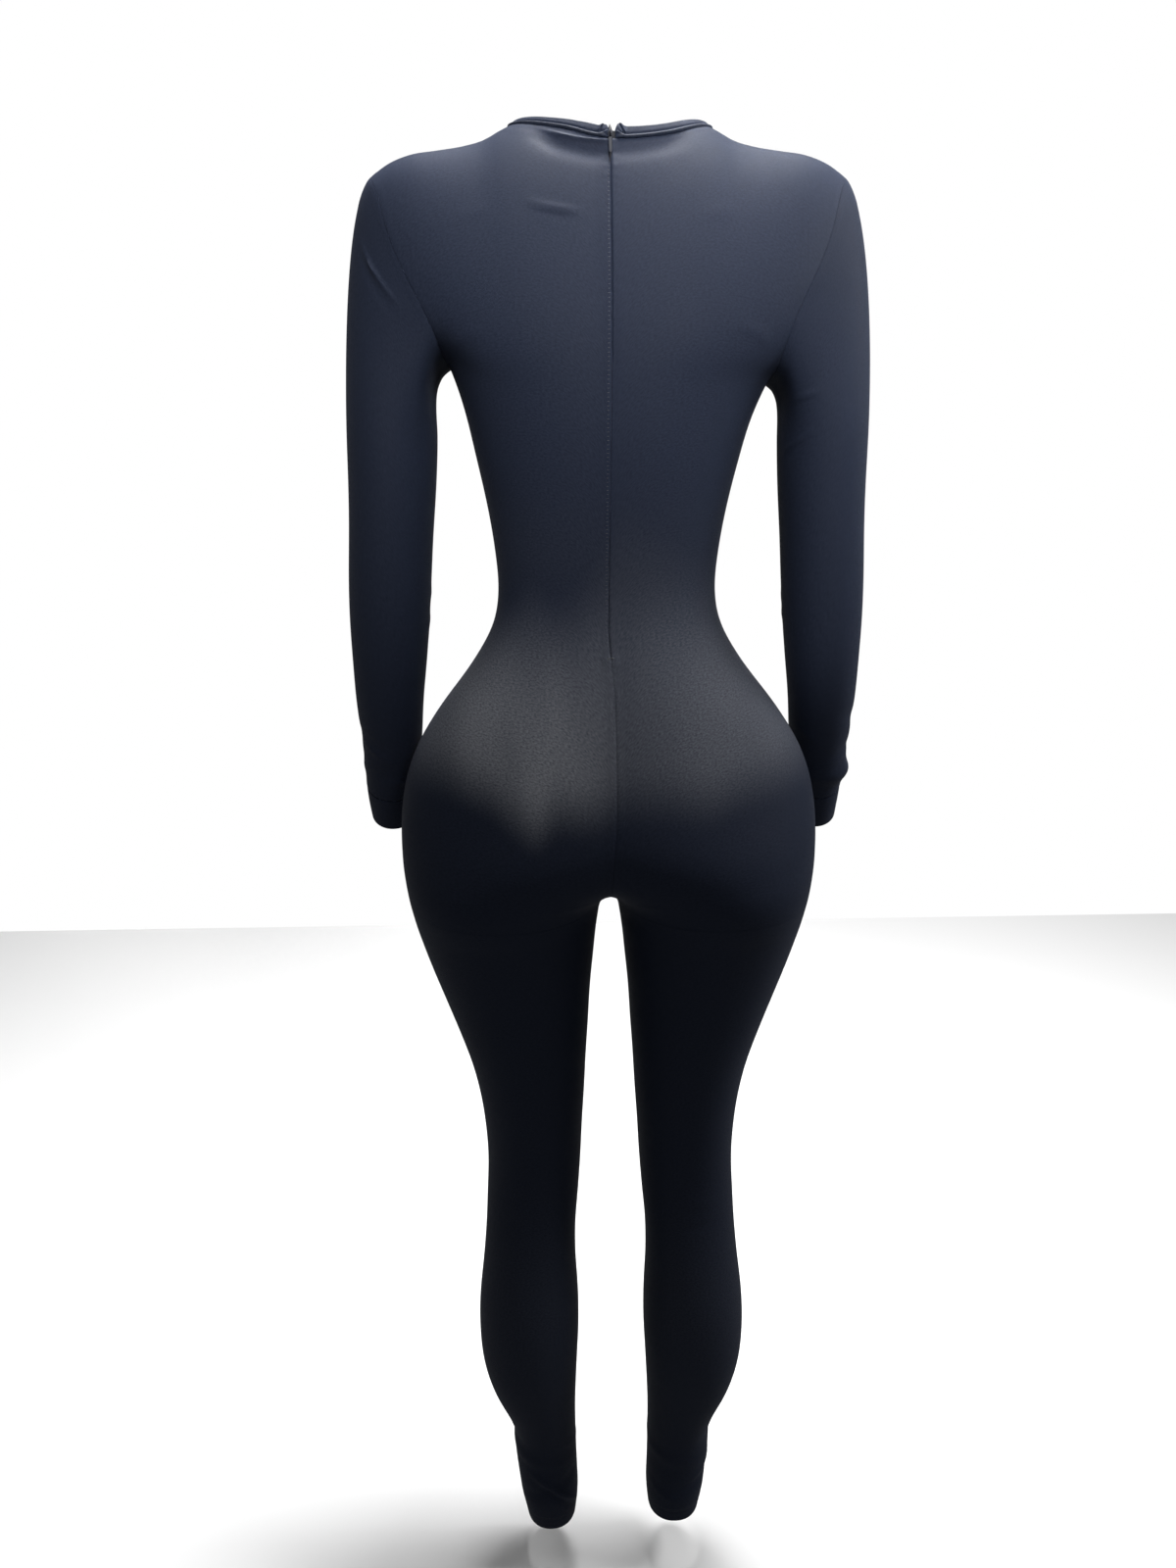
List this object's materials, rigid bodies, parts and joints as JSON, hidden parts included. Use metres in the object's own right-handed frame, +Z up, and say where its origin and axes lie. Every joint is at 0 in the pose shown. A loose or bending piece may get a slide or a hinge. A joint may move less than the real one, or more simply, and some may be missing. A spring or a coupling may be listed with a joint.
{
  "type": "jumpsuit",
  "caption": "Close-fitting stretch knit jumpsuit in its worn, hollow form: long sleeves, round bound neck, full-length legs and a concealed zip down the back.",
  "frame": {"origin": "midway between the shoulders, 1.42 m over the wearer's soles, where the wearer holds the garment up", "axes": "+Z up along the garment, the front faces -Y and the zipped back faces +Y, +X is the wearer's left"},
  "size_m": [0.4825, 0.2476, 1.4192],
  "materials": {
    "black_knit": "matte stretch jersey with a soft sheen where it is pulled tight",
    "zip_tape": "fine woven tape",
    "zip_metal": "black enamel, satin"
  },
  "bodies": {
    "garment": {"back_left": "black_knit", "back_right": "black_knit", "front_left": "black_knit", "front_right": "black_knit", "sleeve_left": "black_knit", "sleeve_right": "black_knit", "cuff_left": "black_knit", "cuff_right": "black_knit", "neck_binding": "black_knit", "zip_tape_left": "zip_tape", "zip_tape_right": "zip_tape", "zip_slider": "zip_metal"},
    "pull": {"zip_pull": "zip_metal"}
  },
  "joints": [
    {"name": "pull_swing", "type": "hinge", "parent": "garment", "child": "pull", "pos_m": [-0.0027, 0.05333, 0.04425], "axis": [1, 0, 0], "range_deg": [0, 140]}
  ]
}
